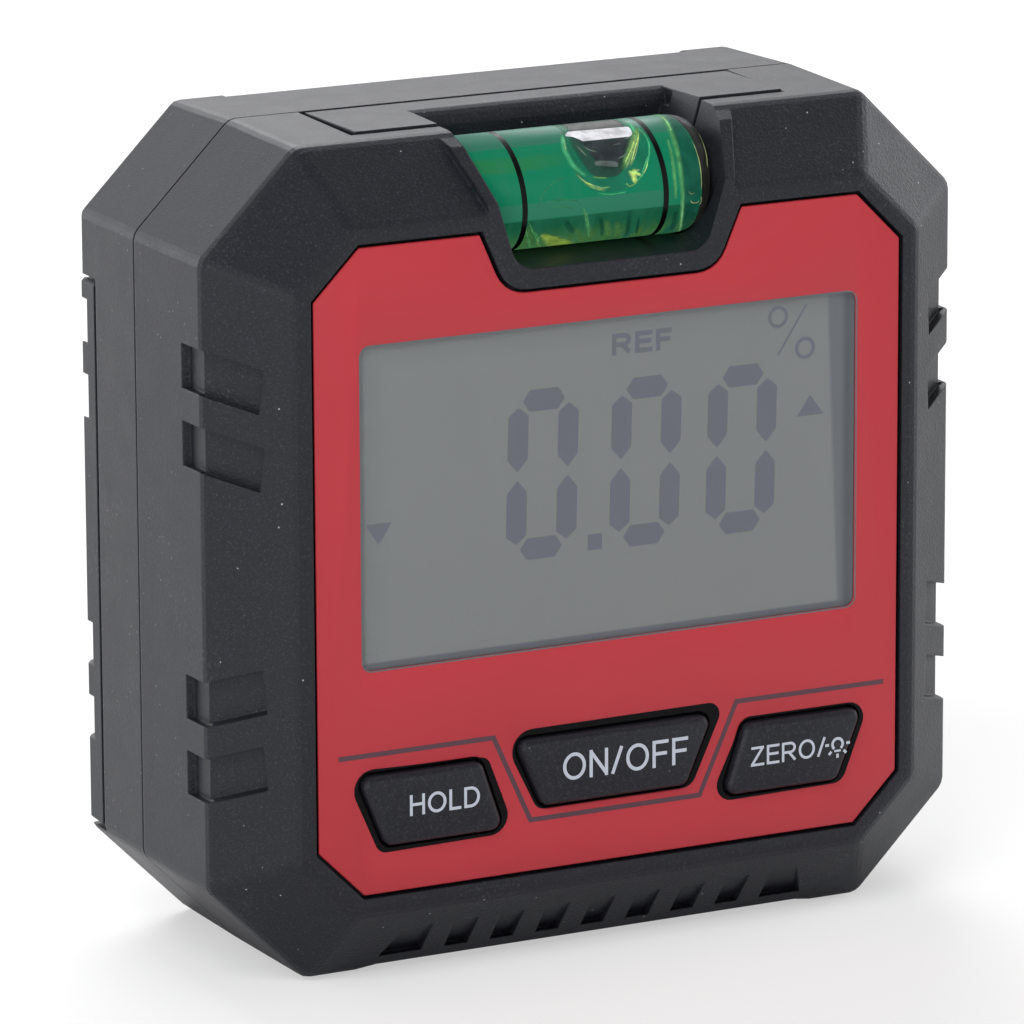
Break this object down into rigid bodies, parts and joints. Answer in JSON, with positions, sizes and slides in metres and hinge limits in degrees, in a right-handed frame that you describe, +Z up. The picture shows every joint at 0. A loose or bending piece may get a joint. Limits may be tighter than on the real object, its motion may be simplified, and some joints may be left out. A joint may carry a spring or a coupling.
{
  "type": "digital angle gauge",
  "caption": "Square digital angle gauge with a display, trapezoid keys, a bubble vial set in its top edge, ribbed grips and magnets in its base.",
  "frame": {"origin": "middle of the base, half way between the face of the keys and the back", "axes": "+Z up, +Y from the display to the back, +X to the right when facing the display"},
  "size_m": [0.06, 0.0252, 0.06],
  "materials": {
    "housing": "fine texture",
    "panel_red": "satin",
    "clear": "clear acrylic",
    "vial_green": "coloured liquid",
    "keys": "satin",
    "lcd": "grey display",
    "white_plastic": "white",
    "connector": "matte",
    "board": "board lacquer",
    "chip_black": "matte",
    "steel": "zinc plated",
    "nickel": "nickel plated",
    "cell_wrap": "printed sleeve"
  },
  "bodies": {
    "gauge": {"front_housing": "housing", "rear_housing": "housing", "vial_holder": "housing", "vial_tube": "clear", "vial_plug": "keys", "vial_liquid": "vial_green", "face_panel": "panel_red", "display_window": "clear", "switch_hold": "chip_black", "switch_on_off": "chip_black", "switch_zero": "chip_black", "lcd_glass": "lcd", "backlight_plate": "white_plastic", "lcd_connector": "connector", "circuit_board": "board", "main_chip": "chip_black", "tilt_sensor": "chip_black", "backlight_led": "white_plastic", "board_screw_left": "steel", "board_screw_right": "steel", "battery_lower": "cell_wrap", "battery_upper": "cell_wrap", "contact_bridge": "nickel", "contact_minus": "nickel", "contact_plus": "nickel", "battery_spring_left": "nickel", "battery_spring_right": "nickel", "housing_screw_low_left": "steel", "housing_screw_low_right": "steel", "housing_screw_high_left": "steel", "housing_screw_high_right": "steel", "base_magnet_left": "nickel", "base_magnet_right": "nickel"},
    "hold_key": {"key_hold": "keys", "plunger_hold": "white_plastic"},
    "on_off_key": {"key_on_off": "keys", "plunger_on_off": "white_plastic"},
    "zero_key": {"key_zero": "keys", "plunger_zero": "white_plastic"},
    "cover": {"battery_cover": "housing"}
  },
  "joints": [
    {"name": "hold_key_press", "type": "slide", "parent": "gauge", "child": "hold_key", "axis": [0, 1, 0], "range_m": [0, 0.0005], "stiffness_N_per_m": 400, "springref_m": -0.0005},
    {"name": "on_off_key_press", "type": "slide", "parent": "gauge", "child": "on_off_key", "axis": [0, 1, 0], "range_m": [0, 0.0005], "stiffness_N_per_m": 400, "springref_m": -0.0005},
    {"name": "zero_key_press", "type": "slide", "parent": "gauge", "child": "zero_key", "axis": [0, 1, 0], "range_m": [0, 0.0005], "stiffness_N_per_m": 400, "springref_m": -0.0005},
    {"name": "cover_lift", "type": "slide", "parent": "gauge", "child": "cover", "axis": [0, 1, 0], "range_m": [0, 0.02]}
  ]
}
